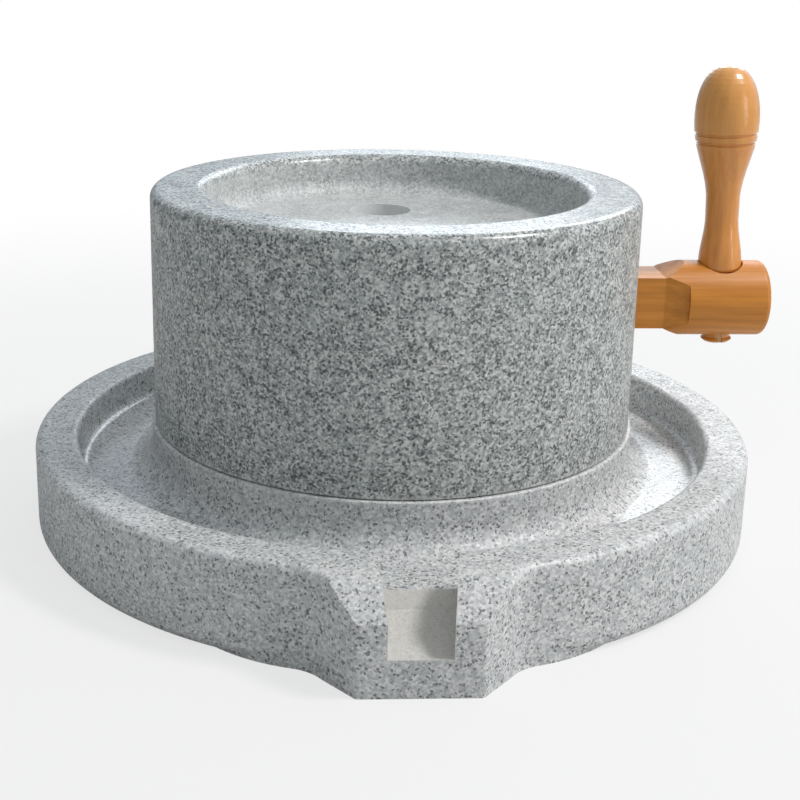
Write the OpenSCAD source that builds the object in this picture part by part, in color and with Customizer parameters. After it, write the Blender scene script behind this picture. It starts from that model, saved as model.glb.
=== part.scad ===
// Hand-cranked granite grain mill. A base stone carries the bed face, a collecting
// trough and a spout. A runner stone with a hopper dish turns above it on a steel
// spindle, driven by a wooden crank arm with a turned handle.
// Millimetres. The origin is the centre of the underside, +Z is up, the spout
// points along -Y and the crank arm along +X.

/* [Runner stone] */
// Diameter of the runner stone
runner_d = 250; // [220:1:290]
// Height of the runner stone, from its grinding face to its rim
runner_h = 121; // [105:1:150]
// Width of the rim around the hopper dish
rim_w = 28; // [20:1:36]
// Depth of the hopper dish
dish_depth = 22; // [14:1:30]
// Rounding of the rim's outer edge
runner_round = 5; // [2:0.5:9]
// Rounding of the dish's upper edge
dish_round = 5; // [2:0.5:9]
// Hollow corner between the dish's wall and floor
dish_fillet = 9; // [3:0.5:12]
// Diameter of the feed eye
feed_d = 33; // [24:0.5:40]
// Distance of the feed eye from the stone's axis
feed_r = 46; // [40:0.5:56]
// Angle of the feed eye, counter-clockwise from the crank arm
feed_angle = 96; // [60:1:300]
// Diameter of the hollowed breast around the feed eye, on the underside
breast_d = 134; // [126:1:160]
// Depth of the hollowed breast
breast_depth = 3; // [1:0.5:6]

/* [Base stone] */
// How far the bed face stands out past the runner stone
bed_ledge = 1.5; // [0:0.5:6]
// Height of the bed face above the tray's rim
bed_rise = 5; // [2:0.5:20]
// Width of the flared foot of the bed, where it meets the trough
flare_w = 11.5; // [6:0.5:20]
// Height of the plain band between the flared foot and the bed face
bed_band = 11.5; // [4:0.5:16]
// Width of the trough's floor
trough_w = 26.5; // [20:0.5:45]
// Depth of the trough below the tray's rim
trough_depth = 18.5; // [14:0.5:28]
// Hollow corner between the trough's floor and its outer wall
trough_fillet = 5; // [3:0.5:10]
// Thickness of stone under the trough
floor_t = 28.5; // [22:0.5:36]
// Width of the tray's rim
wall_w = 21.5; // [15:0.5:30]
// Rounding of the outer edge of the tray's rim and of the spout
wall_round = 4; // [2:0.5:9]
// Rounding of the tray rim's inner edge
lip_round = 3; // [1:0.5:6]
// Rounding of the lower edge of the tray, beside the spout, which stands square on the ground
foot_round = 7; // [2:0.5:10]
// How far the spout's square foot runs out along the tray's lower edge
heel_run = 45; // [30:1:60]
// Rounding of the bed face's edge
bed_round = 0.8; // [0.4:0.2:3]

/* [Spout] */
// How far the spout stands out past the tray
spout_reach = 17; // [10:0.5:30]
// Width of the spout's front face
spout_w = 52; // [44:0.5:70]
// Angle at which the spout's sides spread towards the tray
spout_splay = 41; // [25:1:55]
// Hollow corner between the spout's sides and the tray
spout_fillet = 24; // [10:1:40]
// Rounding of the spout's upright front edges
spout_corner = 2; // [1:0.5:8]
// Height of the spout's front face
nose_h = 33; // [28:0.5:40]
// Slope of the spout's top towards its front face
nose_slope = 45; // [35:1:55]
// Rounding of the spout's top where it begins to slope
nose_round = 16; // [8:0.5:22]
// Width of the channel at the spout's mouth
mouth_w = 27; // [18:0.5:34]
// Width of the channel where it leaves the trough
throat_w = 38; // [28:0.5:50]
// How far the channel is cut into the trough's floor, past the tray's wall
channel_back = 1.5; // [0.5:0.5:4]
// Fall of the trough's floor towards the channel
channel_ease = 0.6; // [0.2:0.2:2]
// Drop from the trough's floor to the channel's floor
channel_drop = 6.5; // [4:0.5:10]
// Length of the slope at the channel's back
channel_ramp = 6; // [3:0.5:10]
// Fall of the channel's floor from that slope to the mouth
channel_fall = 4.8; // [0.4:0.2:6]

/* [Grinding faces] */
// Number of sectors in the dress
sectors = 8; // [6:1:10]
// Furrows in a sector
furrows = 4; // [2:1:4]
// Distance between neighbouring furrows
furrow_pitch = 17; // [12:0.5:18]
// Width of a furrow
furrow_w = 3.5; // [2:0.5:5]
// Depth of a furrow
furrow_depth = 1.8; // [0.8:0.2:2.6]
// Width of the plain ring around the furrows
skirt_w = 7; // [4:0.5:15]
// Radius at which the furrows begin
furrow_start = 48; // [40:1:60]
// Running gap between the two grinding faces
running_gap = 0.4; // [0.2:0.1:1]

/* [Spindle] */
// Diameter of the spindle's journal
journal_d = 18; // [14:0.5:22]
// Length of the journal above its shoulder
journal_l = 46; // [36:1:56]
// Diameter of the spindle's foot in the base stone
foot_d = 24; // [23:0.5:28]
// Length of the spindle's foot
foot_l = 32; // [24:1:36]
// Number of thrust washers
washers = 3; // [2:1:4]
// Thickness of one thrust washer
washer_t = 1.2; // [0.8:0.1:1.6]
// Clearance around the thrust washers in the spindle's pocket
washer_side_clear = 2; // [1:0.25:3]
// Outer diameter of the bush in the runner stone
bush_d = 30; // [26:0.5:34]
// Thickness of the bush's closed end
bush_end = 5; // [3:0.5:8]
// Thickness of the grout around the spindle's foot and the bush
grout_t = 6; // [4:0.5:8]
// Radial clearance of the bush on the journal
journal_clear = 0.06; // [0.03:0.01:0.1]
// Radial clearance of the washers on the journal
washer_clear = 0.3; // [0.1:0.05:0.6]
// Film of grease under each thrust washer
washer_film = 0.05; // [0.02:0.01:0.1]
// Free space between the journal's tip and the bush's closed end
tip_clear = 3; // [1:0.5:6]

/* [Crank arm] */
// Diameter of the crank arm
arm_d = 39.5; // [36:0.5:44]
// How far the arm stands out of the runner stone
arm_out = 70.5; // [66:0.5:100]
// Depth of the arm's centre line below the dish's floor
arm_drop = 37; // [30:0.5:44]
// Length of the neck between the stone and the arm's head
neck_l = 27.5; // [20:0.5:30]
// Length of the flare from the square neck to the arm's head
neck_flare = 12; // [8:0.5:16]
// Width and height of the tenon in the stone
tenon_side = 27; // [24:0.5:30]
// Length of the tenon in the stone
tenon_l = 48; // [35:1:60]
// Width of the neck's side flats, measured across them, at the head
neck_flat = 34; // [32:0.5:36]
// Rounding of the arm's outer end
arm_round = 3; // [1:0.5:6]
// Thickness of the wedge at its outer end
wedge_thick = 3.6; // [2.5:0.1:6]
// Thickness of the wedge at its inner end
wedge_thin = 1.4; // [0.8:0.1:2]
// Width of the wedge
wedge_w = 21; // [12:0.5:24]
// How far the wedge's ends lie back from the tenon's end and from the stone's side
wedge_back = 1; // [0.5:0.5:4]
// Side clearance of the tenon in its mortise
tenon_clear = 0.2; // [0.1:0.05:0.5]
// Room left behind the tenon's inner end
tenon_room = 1; // [0.5:0.5:4]

/* [Handle] */
// Distance of the handle from the runner stone's side
handle_out = 47; // [44:0.5:52]
// Lean of the handle towards the mill
handle_lean = 2; // [0:0.5:4]
// Length of the handle above its seat
handle_l = 106.5; // [90:0.5:130]
// Height of the thickest part of the grip
grip_h = 78; // [70:1:84]
// Diameter of the grip at its thickest
grip_d = 32.6; // [28:0.2:38]
// Diameter of the waist
waist_d = 17; // [16:0.2:20]
// Height at which the waist begins
waist_low = 28; // [20:1:32]
// Height at which the waist ends
waist_high = 36; // [33:1:45]
// Diameter of the handle's base
base_d = 22.4; // [20:0.2:24]
// Rounding of the handle's base
base_round = 2.5; // [1:0.1:3]
// Distance of the upper turned groove below the thickest part
groove_drop = 6; // [3:0.5:10]
// Distance between the two turned grooves
groove_pitch = 4.5; // [3:0.5:8]
// Radius of a turned groove
groove_r = 0.9; // [0.5:0.1:1.4]
// Depth of the flat seat cut into the arm
seat_depth = 4.4; // [3.6:0.1:6]
// Clearance of the flat seat around the handle's base
seat_clear = 0.75; // [0.5:0.25:3]
// Diameter of the shank through the arm
shank_d = 14; // [11:0.2:15]
// Radial clearance of the shank in the arm
shank_clear = 0.08; // [0.03:0.01:0.1]
// How far the shank stands out below the arm
shank_out = 3.5; // [2.5:0.5:8]
// Distance below the arm at which the shank's end begins to spread
spread_drop = 1; // [0.6:0.1:2]
// Chamfer on the shank's end
shank_chamfer = 1; // [0.5:0.1:1.5]
// How far the wedge spreads the shank's end
shank_spread = 1; // [0.4:0.1:1.6]
// Depth of the slit for the handle's wedge
slit_depth = 13; // [8:0.5:20]
// Width of the slit at the shank's end
slit_wide = 2.6; // [1.6:0.1:3.4]
// Width of the slit at its bottom
slit_thin = 1; // [0.6:0.1:1.4]
// How far the handle's wedge lies back from the shank's sides
slit_back = 0.5; // [0.3:0.1:1]

/* [Hidden] */
$fn = 96;
// Overshoot of a cutting shape past the surface that it cuts
over = 1;
// Steps in one stretch of the handle's curve
curve_steps = 12;
// Fullness of the handle's dome: 2 is an ellipse, more is squarer
dome_power = 2.3;
// How far the spout's hollow corners are cut past the tray's side, so that they meet it at a clear edge
hollow_past = 0.2;

granite = [0.66, 0.67, 0.68];
wood = [0.72, 0.46, 0.19];
pale_wood = [0.80, 0.62, 0.38];
steel = [0.62, 0.63, 0.65];
cement = [0.55, 0.54, 0.51];

// Radii and heights of the base stone
runner_r = runner_d / 2;
bed_r = runner_r + bed_ledge;
flare_r = bed_r + flare_w;
trough_r = flare_r + trough_w;
tray_r = trough_r + wall_w;
tray_h = floor_t + trough_depth;
bed_z = tray_h + bed_rise;
flare_h = bed_z - floor_t - bed_band;
flare_arc = (flare_h * flare_h + flare_w * flare_w) / (2 * flare_w);

// Heights of the runner stone
runner_z = bed_z + running_gap;
runner_top = runner_z + runner_h;
dish_r = runner_r - rim_w;
dish_z = runner_top - dish_depth;
dress_r = runner_r - skirt_w;

// Spout, seen from above with its direction as +Y
spout_front = tray_r + spout_reach;
side_run = [sin(spout_splay), -cos(spout_splay)];
side_out = [cos(spout_splay), sin(spout_splay)];
front_corner = [spout_w / 2, spout_front];
fillet_foot = front_corner + spout_fillet * side_out;
fillet_b = fillet_foot * side_run;
fillet_c = fillet_foot * fillet_foot - (tray_r + spout_fillet) * (tray_r + spout_fillet);
fillet_run = -fillet_b - sqrt(fillet_b * fillet_b - fillet_c);
fillet_centre = fillet_foot + fillet_run * side_run;
hollow_r = spout_fillet + hollow_past;
corner_turn = (90 - spout_splay) / 2;
nose_run = (tray_h - nose_h) / tan(nose_slope);
slope_start = spout_front - nose_run - nose_round * tan(nose_slope / 2);
corner_cut = spout_corner * tan(corner_turn);
heel_far = tray_r - hollow_past / 2;
heel_near = tray_r - foot_round;
heel_turn = cos(heel_run * 180 / (PI * tray_r));
heel_off = (heel_far * heel_far - heel_near * heel_near) / (2 * (heel_far - heel_near * heel_turn));

// Spindle, washers and bush, from the shoulder upwards
bush_z = runner_z;
washer_stack = washers * (washer_t + washer_film);
shoulder_z = bush_z - washer_stack;
pocket_d = foot_d + 2 * grout_t;
washer_d = pocket_d - 2 * washer_side_clear;
foot_z = shoulder_z - foot_l;
tip_z = shoulder_z + journal_l;
bush_inside_z = tip_z + tip_clear;
bush_top = bush_inside_z + bush_end;
bush_hole_d = bush_d + 2 * grout_t;

// Crank arm and handle
arm_z = dish_z - arm_drop;
arm_r = arm_d / 2;
arm_end = runner_r + arm_out;
head_x = runner_r + neck_l;
flare_x = head_x - neck_flare;
tenon_x = runner_r - tenon_l;
mortise_x = tenon_x - tenon_room;
tenon_top = arm_z + tenon_side / 2;
handle_x = runner_r + handle_out;
seat_z = arm_z + arm_r - seat_depth;
seat_d = base_d + 2 * seat_clear;
groove_heights = [grip_h - groove_drop - groove_pitch, grip_h - groove_drop];
shank_end = -(2 * arm_r - seat_depth) - shank_out;
spread_r = shank_d / 2 + shank_spread;
spread_h = shank_end + shank_out - spread_drop;

// Waste outside a quarter circle, for rounding a convex corner
module round_off(r) {
    difference() {
        square(r + over);
        circle(r);
    }
}

// Fill of a hollow corner at the origin
module hollow_corner(r) {
    difference() {
        square(r);
        translate([r, r]) circle(r);
    }
}

// Furrows of one grinding face, seen from above
module dress() {
    turn = 360 / sectors;
    for (s = [0 : sectors - 1])
        rotate(s * turn)
            intersection() {
                difference() {
                    circle(dress_r);
                    circle(furrow_start);
                }
                polygon([[0, 0], [runner_d, 0], [runner_d, runner_d * tan(turn)]]);
                for (i = [0 : furrows - 1])
                    translate([0, i * furrow_pitch]) square([runner_d, furrow_w]);
            }
}

// Half section of the base stone without its spout
module base_section() {
    difference() {
        union() {
            square([tray_r, floor_t]);
            translate([trough_r, 0]) square([wall_w, tray_h]);
            square([bed_r, bed_z]);
            translate([bed_r, floor_t])
                difference() {
                    square([flare_w, flare_h]);
                    translate([flare_arc, flare_h]) circle(flare_arc);
                }
            translate([trough_r, floor_t]) mirror([1, 0]) hollow_corner(trough_fillet);
        }
        translate([tray_r - wall_round, tray_h - wall_round]) round_off(wall_round);
        translate([trough_r + lip_round, tray_h - lip_round]) mirror([1, 0]) round_off(lip_round);
        translate([tray_r - foot_round, foot_round]) mirror([0, 1]) round_off(foot_round);
        translate([bed_r - bed_round, bed_z - bed_round]) round_off(bed_round);
    }
}

// Half of the spout's outline, seen from above with the spout along +Y
module half_spout_plan() {
    side_touch = fillet_centre - spout_fillet * side_out;
    tray_touch = fillet_centre * tray_r / (tray_r + spout_fillet);
    round_centre = [front_corner[0] - corner_cut, spout_front - spout_corner];
    difference() {
        polygon([
            [0, spout_front], [front_corner[0] - corner_cut, spout_front],
            front_corner + corner_cut * side_run, side_touch, fillet_centre, tray_touch, [0, 0]
        ]);
        translate(fillet_centre) circle(hollow_r);
    }
    translate(round_centre) circle(spout_corner);
}

// Side view, given as distance and height, drawn out to a width across the spout
module across_spout(w) {
    translate([-w / 2, 0, 0]) rotate([90, 0, 90]) linear_extrude(w) children();
}

// Side view of the spout: its top rounds over into a slope towards the front face
module spout_side() {
    round_centre = [slope_start, tray_h - nose_round];
    polygon([
        [0, 0], [spout_front, 0], [spout_front, nose_h],
        round_centre + nose_round * [sin(nose_slope), cos(nose_slope)], [slope_start, tray_h], [0, tray_h]
    ]);
    translate(round_centre) circle(nose_round);
}

// Waste that rounds the upper edge of the spout's side and of the hollow corner beside it, upside down
module side_edge_waste(r) {
    translate(front_corner - r * side_run)
        rotate([90, 0, spout_splay])
            linear_extrude(fillet_run + r)
                translate([-r, r]) mirror([0, 1]) round_off(r);
    translate(fillet_centre)
        rotate_extrude()
            translate([hollow_r + r, r]) rotate(180) round_off(r);
}

// Heel beside the spout, where its square foot runs out along the tray's rounded lower edge
module heel() {
    translate(fillet_centre * heel_off / (tray_r + spout_fillet))
        cylinder(r = heel_far - heel_off, h = foot_round + over);
}

// Spout outside the tray's rim, along +Y
module spout() {
    difference() {
        union() {
            intersection() {
                linear_extrude(tray_h)
                    for (side = [0, 1]) mirror([side, 0]) half_spout_plan();
                across_spout(2 * tray_r) spout_side();
            }
            for (side = [0, 1]) mirror([side, 0, 0]) heel();
        }
        for (side = [0, 1])
            mirror([side, 0, 0])
                translate([0, 0, tray_h]) mirror([0, 0, 1]) side_edge_waste(wall_round);
        translate([0, 0, -over])
            cylinder(r = tray_r - max(wall_round, foot_round), h = tray_h + 2 * over);
    }
}

// Channel from the trough through the rim and the spout, along +Y
module channel() {
    start = sqrt(pow(trough_r - trough_fillet, 2) - pow(throat_w / 2, 2)) - over;
    back = trough_r - channel_back;
    end = spout_front + over;
    back_z = floor_t - channel_drop;
    taper = (throat_w - mouth_w) / (spout_front - trough_r);
    start_w = throat_w + taper * (trough_r - start);
    end_w = mouth_w - taper * over;
    intersection() {
        linear_extrude(tray_h + over)
            polygon([[-start_w / 2, start], [start_w / 2, start], [end_w / 2, end], [-end_w / 2, end]]);
        across_spout(2 * tray_r)
            polygon([
                [start, floor_t], [start, tray_h + over],
                [end, tray_h + over], [end, back_z - channel_fall],
                [back + channel_ramp, back_z], [back, floor_t - channel_ease]
            ]);
    }
}

// Lower granite block: bed face, flared foot, trough, rim and spout
module base_stone() {
    color(granite)
        difference() {
            union() {
                rotate_extrude() base_section();
                rotate(180) spout();
            }
            rotate(180) channel();
            translate([0, 0, foot_z - grout_t]) cylinder(d = pocket_d, h = bed_z);
            translate([0, 0, bed_z - furrow_depth]) linear_extrude(furrow_depth + over) dress();
        }
}

// Steel pin: a foot set in the base stone, a shoulder for the washers and a domed journal
module spindle() {
    color(steel)
        translate([0, 0, foot_z]) {
            cylinder(d = foot_d, h = foot_l);
            cylinder(d = journal_d, h = foot_l + journal_l - journal_d / 2);
            translate([0, 0, foot_l + journal_l - journal_d / 2]) sphere(d = journal_d);
        }
}

// Set cement that fills the pocket around and under the spindle's foot
module spindle_grout() {
    color(cement)
        difference() {
            translate([0, 0, foot_z - grout_t]) cylinder(d = pocket_d, h = foot_l + grout_t);
            translate([0, 0, foot_z]) cylinder(d = foot_d, h = foot_l + over);
        }
}

// Washers stacked on the spindle's shoulder, which set the running gap
module thrust_washers() {
    color(steel)
        for (i = [0 : washers - 1])
            translate([0, 0, shoulder_z + washer_film + i * (washer_t + washer_film)])
                difference() {
                    cylinder(d = washer_d, h = washer_t);
                    translate([0, 0, -over])
                        cylinder(r = journal_d / 2 + washer_clear, h = washer_t + 2 * over);
                }
}

// Half section of the runner stone
module runner_section() {
    difference() {
        translate([0, runner_z]) square([runner_r, runner_h]);
        difference() {
            translate([0, dish_z]) square([dish_r, dish_depth + over]);
            translate([dish_r, dish_z]) mirror([1, 0]) hollow_corner(dish_fillet);
        }
        translate([0, runner_z - over]) square([breast_d / 2, breast_depth + over]);
        translate([runner_r - runner_round, runner_top - runner_round]) round_off(runner_round);
        translate([dish_r + dish_round, runner_top - dish_round]) mirror([1, 0]) round_off(dish_round);
        translate([runner_r - bed_round, runner_z + bed_round]) mirror([0, 1]) round_off(bed_round);
    }
}

// Height of the mortise's roof at a distance from the mill's axis
function roof_z(x) =
    tenon_top + wedge_thin + (wedge_thick - wedge_thin) * (x - mortise_x) / (runner_r - mortise_x);

// Mortise in the runner stone's side, with a sloping roof for the wedge
module mortise() {
    outside = runner_r + over;
    translate([0, tenon_side / 2 + tenon_clear, 0])
        rotate([90, 0, 0])
            linear_extrude(tenon_side + 2 * tenon_clear)
                polygon([
                    [mortise_x, arm_z - tenon_side / 2], [outside, arm_z - tenon_side / 2],
                    [outside, roof_z(outside)], [mortise_x, roof_z(mortise_x)]
                ]);
}

// Upper granite stone: hopper dish, feed eye, mortise and dressed underside
module runner_stone() {
    color(granite)
        difference() {
            rotate_extrude() runner_section();
            rotate(feed_angle) translate([feed_r, 0, runner_z - over]) cylinder(d = feed_d, h = runner_h);
            translate([0, 0, runner_z - over])
                cylinder(d = bush_hole_d, h = bush_top + grout_t - runner_z + over);
            mortise();
            translate([0, 0, runner_z - over])
                linear_extrude(furrow_depth + over) mirror([0, 1]) dress();
        }
}

// Steel cup that turns on the spindle's journal
module runner_bush() {
    color(steel)
        difference() {
            translate([0, 0, bush_z]) cylinder(d = bush_d, h = bush_top - bush_z);
            translate([0, 0, bush_z - over])
                cylinder(r = journal_d / 2 + journal_clear, h = bush_inside_z - bush_z + over);
        }
}

// Set cement that holds the bush in the runner stone
module bush_grout() {
    grout_z = runner_z + breast_depth;
    color(cement)
        difference() {
            translate([0, 0, grout_z]) cylinder(d = bush_hole_d, h = bush_top + grout_t - grout_z);
            translate([0, 0, grout_z - over]) cylinder(d = bush_d, h = bush_top - grout_z + over);
        }
}

// Place and turn of the handle's axis, with the seat at height 0
module on_handle_seat() {
    translate([handle_x, 0, seat_z]) rotate([0, -handle_lean, 0]) children();
}

// Four flats that turn the round arm into its flared neck and square tenon
module neck_flats() {
    half_tenon = tenon_side / 2;
    half_flat = neck_flat / 2;
    intersection() {
        translate([0, arm_d, arm_z])
            rotate([90, 0, 0])
                linear_extrude(2 * arm_d)
                    polygon([
                        [tenon_x, -half_tenon], [flare_x, -half_tenon], [head_x, -arm_r],
                        [head_x, arm_r], [flare_x, half_tenon], [tenon_x, half_tenon]
                    ]);
        translate([0, 0, arm_z - arm_d])
            linear_extrude(2 * arm_d)
                polygon([
                    [tenon_x, -half_tenon], [flare_x, -half_tenon], [head_x, -half_flat],
                    [head_x, half_flat], [flare_x, half_tenon], [tenon_x, half_tenon]
                ]);
    }
}

// Half section of the round bar that the arm is cut from, standing on its tenon's end
module arm_bar_section() {
    bar_l = arm_end - tenon_x;
    difference() {
        square([arm_r, bar_l]);
        translate([arm_r - arm_round, bar_l - arm_round]) round_off(arm_round);
    }
}

// Round wooden arm with a flat seat and a bore for the handle
module crank_arm() {
    color(wood)
        difference() {
            intersection() {
                translate([tenon_x, 0, arm_z]) rotate([0, 90, 0]) rotate_extrude() arm_bar_section();
                union() {
                    neck_flats();
                    translate([head_x, -arm_d, arm_z - arm_d])
                        cube([arm_end - head_x, 2 * arm_d, 2 * arm_d]);
                }
            }
            on_handle_seat() {
                cylinder(d = seat_d, h = arm_d);
                translate([0, 0, -2 * arm_d]) cylinder(r = shank_d / 2 + shank_clear, h = 3 * arm_d);
            }
        }
}

// Wooden wedge driven in above the tenon
module arm_wedge() {
    inner = tenon_x + wedge_back;
    outer = sqrt(runner_r * runner_r - wedge_w * wedge_w / 4) - wedge_back;
    color(pale_wood)
        translate([0, wedge_w / 2, 0])
            rotate([90, 0, 0])
                linear_extrude(wedge_w)
                    polygon([
                        [inner, tenon_top], [outer, tenon_top],
                        [outer, roof_z(outer)], [inner, roof_z(inner)]
                    ]);
}

// Smooth step from 0 to 1
function ease(t) = (1 - cos(180 * t)) / 2;

// Points of a smooth stretch of the handle's outline between two heights and radii
function sweep_out(h0, r0, h1, r1) = [
    for (i = [1 : curve_steps])
        let (t = i / curve_steps) [r0 + (r1 - r0) * ease(t), h0 + (h1 - h0) * t]
];

// Outline of the handle, from its shank's end up to the dome
function handle_outline() = concat(
    [
        [0, shank_end], [spread_r - shank_chamfer, shank_end], [spread_r, shank_end + shank_chamfer],
        [spread_r, (shank_end + spread_h) / 2], [shank_d / 2, spread_h], [shank_d / 2, 0]
    ],
    [
        for (i = [0 : curve_steps])
            let (a = 90 * i / curve_steps)
                [base_d / 2 - base_round * (1 - sin(a)), base_round * (1 - cos(a))]
    ],
    sweep_out(base_round, base_d / 2, waist_low, waist_d / 2),
    sweep_out(waist_high, waist_d / 2, grip_h, grip_d / 2),
    [
        for (i = [1 : curve_steps])
            let (t = sin(90 * i / curve_steps), r = pow(1 - pow(t, dome_power), 1 / dome_power))
                [r * grip_d / 2, grip_h + (handle_l - grip_h) * t]
    ]
);

// Radius of the grip at a height between the waist and its thickest part
function grip_radius(h) =
    (waist_d + (grip_d - waist_d) * ease((h - waist_high) / (grip_h - waist_high))) / 2;

// Tapering slit of a width across the shank, from a distance past the shank's end up to the slit's bottom
module slit(w, past) {
    half_end = slit_wide / 2 + past * (slit_wide - slit_thin) / (2 * slit_depth);
    translate([0, w / 2, shank_end])
        rotate([90, 0, 0])
            linear_extrude(w)
                polygon([
                    [-half_end, -past], [half_end, -past],
                    [slit_thin / 2, slit_depth], [-slit_thin / 2, slit_depth]
                ]);
}

// Turned grip with its shank, which turns in the arm
module handle() {
    color(wood)
        on_handle_seat()
            difference() {
                rotate_extrude() polygon(handle_outline());
                for (h = groove_heights)
                    rotate_extrude() translate([grip_radius(h), h]) circle(groove_r);
                slit(2 * shank_d, over);
            }
}

// Wooden wedge that spreads the shank's end below the arm
module handle_wedge() {
    color(pale_wood) on_handle_seat() slit(shank_d - 2 * slit_back, 0);
}

base_stone();
spindle();
spindle_grout();
thrust_washers();
runner_stone();
runner_bush();
bush_grout();
crank_arm();
arm_wedge();
handle();
handle_wedge();
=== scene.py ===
import math

import bmesh
import bpy
from mathutils import Matrix, Vector

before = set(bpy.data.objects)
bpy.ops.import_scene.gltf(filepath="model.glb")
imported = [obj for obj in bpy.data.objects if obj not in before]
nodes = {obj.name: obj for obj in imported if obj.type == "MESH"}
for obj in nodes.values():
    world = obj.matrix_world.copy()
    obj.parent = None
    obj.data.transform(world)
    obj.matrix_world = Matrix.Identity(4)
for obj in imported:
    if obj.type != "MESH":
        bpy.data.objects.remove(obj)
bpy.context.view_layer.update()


# Base stone: one block of grey granite, turned to the bed face, the flared foot and the trough, with
# the spout left standing in front. Its outside is honed, and the trough and the rim are polished.
def add(tree, kind, inputs=None, **settings):
    """A new node in a material, with its settings, and with a value or a link for each input named."""
    made = tree.nodes.new(kind)
    for key, value in settings.items():
        setattr(made, key, value)
    for key, value in (inputs or {}).items():
        if isinstance(value, bpy.types.NodeSocket):
            tree.links.new(value, made.inputs[key])
        else:
            made.inputs[key].default_value = value
    return made


def sums(tree, operation, a, b=0.0, c=0.5, clamp=False):
    """The result of one sum on two numbers or sockets, or on three where the operation takes them."""
    return add(tree, "ShaderNodeMath", {0: a, 1: b, 2: c}, operation=operation, use_clamp=clamp).outputs[0]


def fade(tree, value, low, high, to_low=0.0, to_high=1.0):
    """A socket that runs smoothly between two results while its value runs between two limits."""
    return add(tree, "ShaderNodeMapRange",
               {"Value": value, "From Min": low, "From Max": high, "To Min": to_low, "To Max": to_high},
               interpolation_type="SMOOTHSTEP").outputs[0]


def below(tree, value, low, high):
    """A share that is whole under two limits, nothing over them, and runs smoothly between them."""
    return fade(tree, value, low, high, 1.0, 0.0)


def ramp(tree, value, *stops):
    """A colour that follows a value through stops of place and colour."""
    made = add(tree, "ShaderNodeValToRGB", {"Fac": value})
    points = made.color_ramp.elements
    while len(points) < len(stops):
        points.new(1.0)
    for point, (place, colour) in zip(points, stops):
        point.position = place
        point.color = (*colour, 1.0)
    return made.outputs["Color"]


def mixed(tree, share, a, b, way="MIX"):
    """Two colours mixed by a share."""
    return add(tree, "ShaderNodeMix", {0: share, 6: a, 7: b}, data_type="RGBA", blend_type=way).outputs[2]


def noise(tree, vector, scale, detail):
    """The level of a noise on a vector."""
    return add(tree, "ShaderNodeTexNoise", {"Vector": vector, "Scale": scale, "Detail": detail}).outputs[0]


def grey(level, tint=(1.0, 1.0, 1.0)):
    """A grey with a slight tint, as a colour."""
    return tuple(level * t for t in tint)


def new_material(name):
    """A new material, with its tree and its shader."""
    material = bpy.data.materials.new(name)
    material.use_nodes = True
    return material, material.node_tree, material.node_tree.nodes["Principled BSDF"]


def places(tree):
    """A point's place on the mill, the parts of it, the ground under it and its distance from the axis."""
    place = add(tree, "ShaderNodeTexCoord").outputs["Object"]
    parts = add(tree, "ShaderNodeSeparateXYZ", {0: place}).outputs
    ground = add(tree, "ShaderNodeCombineXYZ", {0: parts[0], 1: parts[1]}).outputs[0]
    from_axis = add(tree, "ShaderNodeVectorMath", {0: ground}, operation="LENGTH").outputs["Value"]
    return place, parts, ground, from_axis


def feeds(shader, name):
    """The socket that feeds one of a shader's inputs now."""
    return shader.inputs[name].links[0].from_socket


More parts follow.
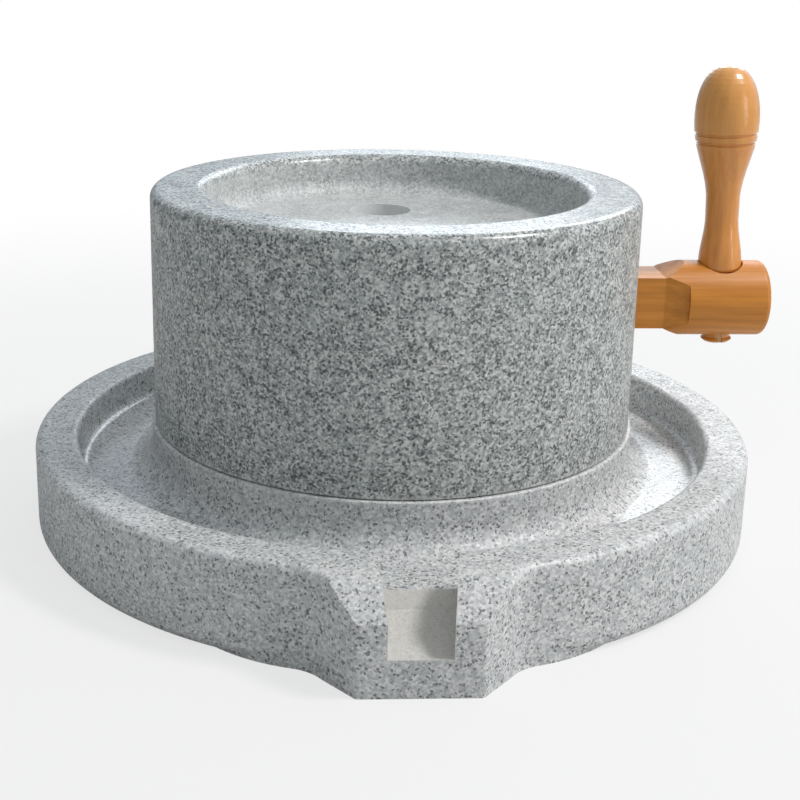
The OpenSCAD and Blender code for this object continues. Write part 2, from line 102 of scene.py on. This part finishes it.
def granite(name, light, dark, cool, warm, mica_tone, flakes, honed, polished, edges):
    """Speckled granite: pale feldspar and grey quartz with black mica flakes, polished on its upper faces.

    The edges are rings of radius and height, along which a paler band is painted as a highlight, broken up
    by noise.
    """
    material, tree, shader = new_material(name)
    place, (_, _, height), _, from_axis = places(tree)
    stir = add(tree, "ShaderNodeTexNoise",
               {"Vector": place, "Scale": 1100.0, "Detail": 2.0}).outputs["Color"]
    stir = add(tree, "ShaderNodeVectorMath", {0: stir, 1: (0.5, 0.5, 0.5)}, operation="SUBTRACT").outputs[0]
    stir = add(tree, "ShaderNodeVectorMath", {0: stir, "Scale": 0.0013}, operation="SCALE").outputs[0]
    bent = add(tree, "ShaderNodeVectorMath", {0: place, 1: stir}, operation="ADD").outputs[0]

    # Grains of feldspar and quartz, each of its own grey
    grain = add(tree, "ShaderNodeTexVoronoi", {"Vector": bent, "Scale": 840.0}).outputs["Color"]
    grain = add(tree, "ShaderNodeSeparateColor", {0: grain}).outputs[0]
    colour = ramp(tree, grain, (0.0, grey(dark, cool)), (0.4, grey(0.5 * dark + 0.5 * light, cool)),
                  (0.75, grey(light, warm)), (1.0, grey(1.15 * light, warm)))

    # Mica flakes, which gather in some places and are rare in others
    fleck = add(tree, "ShaderNodeTexVoronoi", {"Vector": bent, "Scale": 1000.0}).outputs["Color"]
    fleck = add(tree, "ShaderNodeSeparateColor", {0: fleck})
    cloud = noise(tree, place, 130.0, 2.0)
    share = fade(tree, cloud, 0.25, 0.75, 0.35 * flakes, 1.65 * flakes)
    mica = sums(tree, "LESS_THAN", fleck.outputs[1], share)
    smoky = sums(tree, "LESS_THAN", fleck.outputs[2], sums(tree, "MULTIPLY", share, 1.6))
    colour = mixed(tree, sums(tree, "MULTIPLY", smoky, 0.38), colour, (*grey(mica_tone, cool), 1.0))
    colour = mixed(tree, sums(tree, "MULTIPLY", mica, 0.78), colour, (*grey(mica_tone, cool), 1.0))

    # Painted highlight along the edges: a paler band, broken up by noise
    section = add(tree, "ShaderNodeCombineXYZ", {0: from_axis, 1: height}).outputs[0]
    highlight_breakup = noise(tree, place, 240.0, 3.0)
    edge_highlight = 0.0
    highlight_band = (0.0006, 0.0028)
    for edge in edges:
        gap = add(tree, "ShaderNodeVectorMath", {0: section, 1: (*edge, 0.0)},
                  operation="DISTANCE").outputs["Value"]
        edge_highlight = sums(tree, "MAXIMUM", edge_highlight, below(tree, gap, *highlight_band))
    edge_highlight = sums(tree, "MULTIPLY", edge_highlight, fade(tree, highlight_breakup, 0.35, 0.65, 0.1, 0.45))
    colour = mixed(tree, edge_highlight, colour, (*grey(1.1 * light, warm), 1.0))

    # Slow drift of tone through the block
    drift = noise(tree, place, 14.0, 3.0)
    tone = ramp(tree, drift, (0.3, (0.9, 0.92, 0.92)), (0.7, (1.0, 1.0, 1.0)))
    colour = mixed(tree, 1.0, colour, tone, "MULTIPLY")
    tree.links.new(colour, shader.inputs["Base Color"])

    # Polish on the upper faces, duller over the mica, and the fine relief that the stone keeps
    facing = add(tree, "ShaderNodeNewGeometry").outputs["Normal"]
    up = add(tree, "ShaderNodeSeparateXYZ", {0: facing}).outputs[2]
    upper = fade(tree, up, 0.25, 0.8)
    rub = fade(tree, noise(tree, place, 60.0, 4.0), 0.3, 0.7, -0.04, 0.06)
    rough = sums(tree, "ADD", fade(tree, upper, 0.0, 1.0, honed, polished), rub)
    rough = sums(tree, "ADD", rough, sums(tree, "MULTIPLY", mica, 0.08), clamp=True)
    tree.links.new(rough, shader.inputs["Roughness"])
    pits = noise(tree, bent, 1400.0, 3.0)
    pits = sums(tree, "SUBTRACT", pits, sums(tree, "MULTIPLY", mica, 0.5))
    relief = add(tree, "ShaderNodeBump", {"Height": pits, "Strength": 0.2, "Distance": 0.0003}).outputs[0]
    tree.links.new(relief, shader.inputs["Normal"])
    shader.inputs["IOR"].default_value = 1.54
    return material


def dress(node, material):
    """Gives a node of the frame its finished material."""
    nodes[node].data.materials.clear()
    nodes[node].data.materials.append(material)


tray_edge, trough_lip, bed_edge = (0.186, 0.047), (0.1645, 0.047), (0.1265, 0.052)
base_granite = granite("base_granite", light=0.73, dark=0.49, cool=(0.98, 1.0, 1.01),
                       warm=(1.02, 1.0, 0.995), mica_tone=0.1, flakes=0.085, honed=0.6, polished=0.42,
                       edges=[tray_edge, trough_lip, bed_edge])
dress("base_stone", base_granite)

# The notch in the spout is left as it was sawn: pale, dry and dull.
# It narrows and its floor falls to the mouth.
spout_front = 0.203
mouth_half, notch_taper = 0.0139, 0.1429
notch_back, floor_back, floor_z, floor_fall = 0.1627, 0.169, 0.0216, 0.1412
tree = base_granite.node_tree
shader = tree.nodes["Principled BSDF"]
place, (x, y, z), _, from_axis = places(tree)
half_width = sums(tree, "MULTIPLY_ADD", y, notch_taper, mouth_half + spout_front * notch_taper)
notch_floor = sums(tree, "MULTIPLY_ADD", y, floor_fall, floor_z + floor_back * floor_fall)
sawn = sums(tree, "LESS_THAN", sums(tree, "ABSOLUTE", x), half_width)
sawn = sums(tree, "MULTIPLY", sawn, sums(tree, "LESS_THAN", y, -notch_back))
sawn = sums(tree, "MULTIPLY", sawn, sums(tree, "GREATER_THAN", z, notch_floor))
strokes = add(tree, "ShaderNodeMapping", {"Vector": place, "Scale": (900.0, 90.0, 900.0)}).outputs[0]
dry = ramp(tree, noise(tree, strokes, 1.0, 3.0), (0.3, (0.60, 0.585, 0.55)), (0.7, (0.67, 0.655, 0.62)))
colour = mixed(tree, sums(tree, "MULTIPLY", sawn, 0.8), feeds(shader, "Base Color"), dry)
tree.links.new(colour, shader.inputs["Base Color"])

# The trough's floor is polished smooth, up to the foot of the flare, which is only honed
floor_rise, outer_wall = (0.0295, 0.0335), (0.1635, 0.1655)
flare_foot, flare_rise = (0.1355, 0.139), (0.04, 0.046)
polish, sawn_rough, foot_rough = 0.3, 0.75, 0.42
trough = sums(tree, "MULTIPLY", below(tree, z, *floor_rise), below(tree, from_axis, *outer_wall))
foot = sums(tree, "MULTIPLY", below(tree, from_axis, *flare_foot), below(tree, z, *flare_rise))
trough = sums(tree, "MULTIPLY", trough, sums(tree, "SUBTRACT", 1.0, foot))
rough = sums(tree, "MULTIPLY", feeds(shader, "Roughness"), fade(tree, trough, 0.0, 1.0, 1.0, polish))
rough = sums(tree, "MAXIMUM", rough, sums(tree, "MULTIPLY", sawn, sawn_rough))
rough = sums(tree, "MAXIMUM", rough, sums(tree, "MULTIPLY", foot, foot_rough))
tree.links.new(rough, shader.inputs["Roughness"])


# Spindle: the steel pin on which the runner stone turns, grouted by its foot into the base stone.
# It is turned from bar, with a shoulder for the washers, a journal that is ground bright and a domed tip.
def turned_steel(name, shade):
    """Turned steel with fine rings around the mill's axis."""
    material, tree, shader = new_material(name)
    place = places(tree)[0]
    along = add(tree, "ShaderNodeMapping", {"Vector": place, "Scale": (40.0, 40.0, 3000.0)}).outputs[0]
    rings = noise(tree, along, 1.0, 3.0)
    colour = ramp(tree, rings, (0.3, grey(0.8 * shade)), (0.7, grey(shade)))
    tree.links.new(colour, shader.inputs["Base Color"])
    tree.links.new(fade(tree, rings, 0.3, 0.7, 0.22, 0.38), shader.inputs["Roughness"])
    relief = add(tree, "ShaderNodeBump", {"Height": rings, "Strength": 0.1, "Distance": 0.0001}).outputs[0]
    tree.links.new(relief, shader.inputs["Normal"])
    shader.inputs["Metallic"].default_value = 1.0
    return material


dress("spindle", turned_steel("ground_steel", 0.62))


# Spindle grout: cement that holds the spindle's foot in its pocket in the base stone.
# It is poured in and sets grey and matt, full of fine sand.
def set_cement(name):
    """Rough grey cement with sand grains."""
    material, tree, shader = new_material(name)
    place = places(tree)[0]
    sand = noise(tree, place, 1500.0, 4.0)
    patch = noise(tree, place, 120.0, 3.0)
    both = sums(tree, "ADD", sums(tree, "MULTIPLY", sand, 0.5), sums(tree, "MULTIPLY", patch, 0.5))
    colour = ramp(tree, both, (0.35, (0.24, 0.23, 0.21)), (0.65, (0.42, 0.41, 0.38)))
    tree.links.new(colour, shader.inputs["Base Color"])
    tree.links.new(fade(tree, sand, 0.3, 0.7, 0.8, 0.95), shader.inputs["Roughness"])
    relief = add(tree, "ShaderNodeBump", {"Height": sand, "Strength": 0.6, "Distance": 0.0006}).outputs[0]
    tree.links.new(relief, shader.inputs["Normal"])
    return material


cement = set_cement("set_cement")
dress("spindle_grout", cement)


# Thrust washers: three loose steel rings on the spindle's shoulder, which carry the runner stone.
# They are hardened and ground, and bright where they rub.
dress("thrust_washers", turned_steel("washer_steel", 0.7))


# Runner stone: the round granite block that turns, with a hopper dish and a feed eye cut into it.
# It is darker than the base stone, honed on its side and polished on its rim.
rim_outer, rim_inner, skirt_edge = (0.125, 0.1734), (0.097, 0.1734), (0.125, 0.0524)
runner_granite = granite("runner_granite", light=0.65, dark=0.29, cool=(0.95, 1.0, 0.99),
                         warm=(0.99, 1.0, 0.97), mica_tone=0.045, flakes=0.17, honed=0.4, polished=0.14,
                         edges=[rim_outer, rim_inner, skirt_edge])
dress("runner_stone", runner_granite)

# A film of meal dust that the grain leaves, thin in the hopper dish and thick on the wall of the feed eye.
# It is paler than dust alone: painted reflection on the dish's walls and painted light on the eye's shaded
# wall.
thin_dust_and_light, thick_dust_and_light = (0.72, 0.73, 0.73, 1.0), (0.84, 0.85, 0.85, 1.0)
dish_wall, dish_floor, dish_lip = (0.0968, 0.0985), (0.1508, 0.1513), (0.166, 0.1725)
eye_centre, eye_wall, eye_depth = (-0.0048, 0.0457, 0.0), (0.0168, 0.0172), (0.11, 0.13)
tree = runner_granite.node_tree
shader = tree.nodes["Principled BSDF"]
place, (_, _, z), ground, from_axis = places(tree)
dish = sums(tree, "MULTIPLY", below(tree, from_axis, *dish_wall), fade(tree, z, *dish_floor))
dish = sums(tree, "MULTIPLY", dish, fade(tree, z, *dish_lip, 1.0, 0.2))
dish = sums(tree, "MULTIPLY", dish, fade(tree, noise(tree, place, 70.0, 4.0), 0.3, 0.7, 0.36, 0.56))
gap = add(tree, "ShaderNodeVectorMath", {0: ground, 1: eye_centre}, operation="DISTANCE").outputs["Value"]
in_eye = sums(tree, "MULTIPLY", fade(tree, gap, *eye_wall, 0.88, 0.0), fade(tree, z, *eye_depth))
dust_and_light_colour = mixed(tree, dish, feeds(shader, "Base Color"), thin_dust_and_light)
tree.links.new(mixed(tree, in_eye, dust_and_light_colour, thick_dust_and_light), shader.inputs["Base Color"])

# The hollow corner around the dish's floor is out of the polisher's reach
corner_ring, corner_rise, corner_rough = (0.086, 0.09), (0.157, 0.162), 0.5
corner = sums(tree, "MULTIPLY", fade(tree, from_axis, *corner_ring), below(tree, z, *corner_rise))
rough = sums(tree, "MAXIMUM", feeds(shader, "Roughness"), sums(tree, "MULTIPLY", corner, corner_rough))
tree.links.new(rough, shader.inputs["Roughness"])


# Runner bush: a turned steel cup in the runner stone's underside, in which the spindle's journal turns.
# It is held by the same kind of cement as the spindle, poured around it.
dress("runner_bush", turned_steel("bush_steel", 0.55))
dress("bush_grout", cement)


# Crank arm: a turned bar of varnished hardwood that sticks out of the runner stone's side.
# Its neck is cut to four flats, and its square tenon is wedged into a mortise in the stone.
def hardwood(name, spring, summer, pith, along, rough):
    """Varnished wood: growth rings around a pith line along an axis, with fine streaks of pores."""
    material, tree, shader = new_material(name)
    place = places(tree)[0]
    to_pith = tuple(-part for part in pith)
    centred = add(tree, "ShaderNodeMapping", {"Vector": place, "Location": to_pith}).outputs[0]
    rings = add(tree, "ShaderNodeTexWave",
                {"Vector": centred, "Scale": 60.0, "Distortion": 3.0, "Detail": 2.0, "Detail Scale": 0.6},
                wave_type="RINGS", rings_direction=along).outputs["Fac"]
    stretch = tuple(25.0 if axis == along else 900.0 for axis in "XYZ")
    drawn = add(tree, "ShaderNodeMapping", {"Vector": place, "Scale": stretch}).outputs[0]
    pores = noise(tree, drawn, 1.0, 4.0)
    both = sums(tree, "ADD", sums(tree, "MULTIPLY", rings, 0.2), sums(tree, "MULTIPLY", pores, 0.8))
    colour = ramp(tree, both, (0.2, summer), (0.75, spring))
    tree.links.new(colour, shader.inputs["Base Color"])
    tree.links.new(fade(tree, pores, 0.3, 0.7, rough + 0.1, rough), shader.inputs["Roughness"])
    relief = add(tree, "ShaderNodeBump", {"Height": both, "Strength": 0.12, "Distance": 0.0003}).outputs[0]
    tree.links.new(relief, shader.inputs["Normal"])
    return material


arm_wood = hardwood("arm_wood", spring=(0.69, 0.265, 0.03), summer=(0.5, 0.17, 0.014),
                    pith=(0.0, 0.03, 0.075), along="X", rough=0.4)
dress("crank_arm", arm_wood)


# Arm wedge: a slip of bare pale hardwood, split and planed to a taper.
# It is driven in above the tenon and holds the arm in its mortise.
wedge_wood = hardwood("wedge_wood", spring=(0.68, 0.47, 0.25), summer=(0.5, 0.31, 0.14),
                      pith=(0.0, 0.02, 0.1), along="X", rough=0.6)
dress("arm_wedge", wedge_wood)


# Handle: the turned hardwood grip with two scored grooves, whose shank turns in the arm.
# It has a thick, shiny varnish, worn a little paler on the grip, where the paler colour is also a painted
# sheen.
grip_low, grip_high = 0.192, 0.206
worn_varnish_and_sheen = (0.78, 0.39, 0.1, 1.0)
handle_wood = hardwood("handle_wood", spring=(0.82, 0.33, 0.05), summer=(0.62, 0.22, 0.026),
                       pith=(0.13, 0.02, 0.0), along="Z", rough=0.3)
tree = handle_wood.node_tree
shader = tree.nodes["Principled BSDF"]
shader.inputs["Coat Weight"].default_value = 0.8
shader.inputs["Coat Roughness"].default_value = 0.18
place, (_, _, z), _, _ = places(tree)
# Paler grip: varnish worn by hands, plus painted sheen that stands in for the grip's highlight
grip_patches = fade(tree, noise(tree, place, 60.0, 3.0), 0.3, 0.7, 0.25, 0.55)
grip_wear_and_sheen = sums(tree, "MULTIPLY", fade(tree, z, grip_low, grip_high), grip_patches)
colour = mixed(tree, grip_wear_and_sheen, feeds(shader, "Base Color"), worn_varnish_and_sheen)
tree.links.new(colour, shader.inputs["Base Color"])
dress("handle", handle_wood)


# Handle wedge: a small slip of the same bare hardwood as the arm's wedge.
# It spreads the shank's split end below the arm, so that the handle can't lift out.
dress("handle_wedge", wedge_wood)


# Floor: a plain sheet of pale, matt studio paper under the mill, which takes its soft shadow.
# The camera sees it turn to white further away.
floor_size = 60.0
floor_mesh = bpy.data.meshes.new("floor")
sheet = bmesh.new()
bmesh.ops.create_grid(sheet, x_segments=1, y_segments=1, size=floor_size / 2)
sheet.to_mesh(floor_mesh)
sheet.free()
floor = bpy.data.objects.new("floor", floor_mesh)
bpy.context.scene.collection.objects.link(floor)
paper, tree, shader = new_material("pale_paper")
shader.inputs["Base Color"].default_value = (0.68, 0.68, 0.68, 1.0)
shader.inputs["Roughness"].default_value = 0.9
shader.inputs["Specular IOR Level"].default_value = 0.0
seen = add(tree, "ShaderNodeLightPath").outputs["Is Camera Ray"]
glow = add(tree, "ShaderNodeEmission", {"Color": (1.0, 1.0, 1.0, 1.0), "Strength": 1.0}).outputs[0]
share = sums(tree, "MULTIPLY", seen, fade(tree, places(tree)[3], 0.3, 0.9, 0.7, 1.0))
blend = add(tree, "ShaderNodeMixShader", {0: share, 1: shader.outputs[0], 2: glow})
tree.links.new(blend.outputs[0], tree.nodes["Material Output"].inputs["Surface"])
floor_mesh.materials.append(paper)


# Light: a soft box from the upper right, wide ones behind and a strip at the right for the polish to
# mirror, and a pale sky all around that is a little darker at the left and close to the horizon
# behind the mill.
def soft_box(name, place, aim, width, height, power, colour):
    """A rectangular studio light that points at a place on the mill."""
    lamp = bpy.data.lights.new(name, "AREA")
    lamp.shape = "RECTANGLE"
    lamp.size, lamp.size_y = width, height
    lamp.energy = power
    lamp.color = colour
    box = bpy.data.objects.new(name, lamp)
    turn = (Vector(aim) - Vector(place)).to_track_quat("-Z", "Y").to_matrix().to_4x4()
    box.matrix_world = Matrix.Translation(place) @ turn
    bpy.context.scene.collection.objects.link(box)


mill_middle, crank_side = (0.0, 0.0, 0.1), (0.1, 0.0, 0.18)
soft_box("key_box", place=(1.05, -0.3, 1.65), aim=mill_middle,
         width=0.36, height=0.36, power=20.5, colour=(1.0, 0.98, 0.97))
soft_box("sky_box", place=(0.82, 1.75, 1.2), aim=mill_middle,
         width=1.0, height=0.8, power=10.0, colour=(0.92, 0.97, 1.0))
soft_box("low_box", place=(0.3, 3.0, 0.94), aim=mill_middle,
         width=0.75, height=0.5, power=2.6, colour=(0.86, 0.94, 1.0))
soft_box("strip_box", place=(1.35, -0.9, 0.42), aim=crank_side,
         width=0.24, height=0.7, power=1.8, colour=(1.0, 0.99, 0.97))

world = bpy.data.worlds.new("pale_sky")
bpy.context.scene.world = world
world.use_nodes = True
tree = world.node_tree
ray = add(tree, "ShaderNodeLightPath")
way = add(tree, "ShaderNodeTexCoord").outputs["Generated"]
slant = add(tree, "ShaderNodeVectorMath", {0: way, 1: (0.3, 0.28, 0.5)},
            operation="DOT_PRODUCT").outputs["Value"]
level = sums(tree, "MULTIPLY", sums(tree, "ADD", slant, 1.0), 0.38)
sky = tree.nodes["Background"]
sky.inputs["Color"].default_value = (0.94, 0.98, 1.0, 1.0)
tree.links.new(level, sky.inputs["Strength"])
right, back, up = add(tree, "ShaderNodeSeparateXYZ", {0: way}).outputs
haze = ramp(tree, fade(tree, right, -0.9, 0.3),
            (0.0, (0.26, 0.31, 0.35)), (0.5, (0.4, 0.5, 0.58)), (1.0, (0.7, 0.77, 0.84)))
higher = sums(tree, "MULTIPLY", fade(tree, back, 0.2, 0.85), fade(tree, up, 0.12, 0.22, -0.25, 0.35))
mirrored = add(tree, "ShaderNodeBackground", {"Color": haze, "Strength": sums(tree, "ADD", higher, 1.0)})
white = add(tree, "ShaderNodeBackground", {"Color": (1.0, 1.0, 1.0, 1.0), "Strength": 1.0})
gloss = sums(tree, "MAXIMUM", ray.outputs["Is Glossy Ray"], ray.outputs["Is Transmission Ray"])
lit = add(tree, "ShaderNodeMixShader", {0: gloss, 1: sky.outputs[0], 2: mirrored.outputs[0]}).outputs[0]
seen = ray.outputs["Is Camera Ray"]
whole = add(tree, "ShaderNodeMixShader", {0: seen, 1: lit, 2: white.outputs[0]}).outputs[0]
tree.links.new(whole, tree.nodes["World Output"].inputs["Surface"])


# Camera: a little above the rim, in front of the spout and slightly to the left.
# Its lens is shifted, so that the mill sits in the frame as it does in the photograph.
lens_at = Vector((-0.04801, -0.68655, 0.29550))
pitch = math.radians(15.36)
heading = math.radians(2.98)
aim = Vector((math.sin(heading) * math.cos(pitch), math.cos(heading) * math.cos(pitch), -math.sin(pitch)))
lens = bpy.data.cameras.new("camera")
lens.sensor_width = 36.0
lens.lens = 61.0
lens.shift_x = 0.0375
lens.shift_y = -0.1125
camera = bpy.data.objects.new("camera", lens)
roll = 0.01718
camera.matrix_world = (Matrix.Translation(lens_at) @ aim.to_track_quat("-Z", "Y").to_matrix().to_4x4()
                       @ Matrix.Rotation(roll, 4, "Z"))
bpy.context.scene.collection.objects.link(camera)
bpy.context.scene.camera = camera
bpy.context.scene.view_settings.view_transform = "Standard"
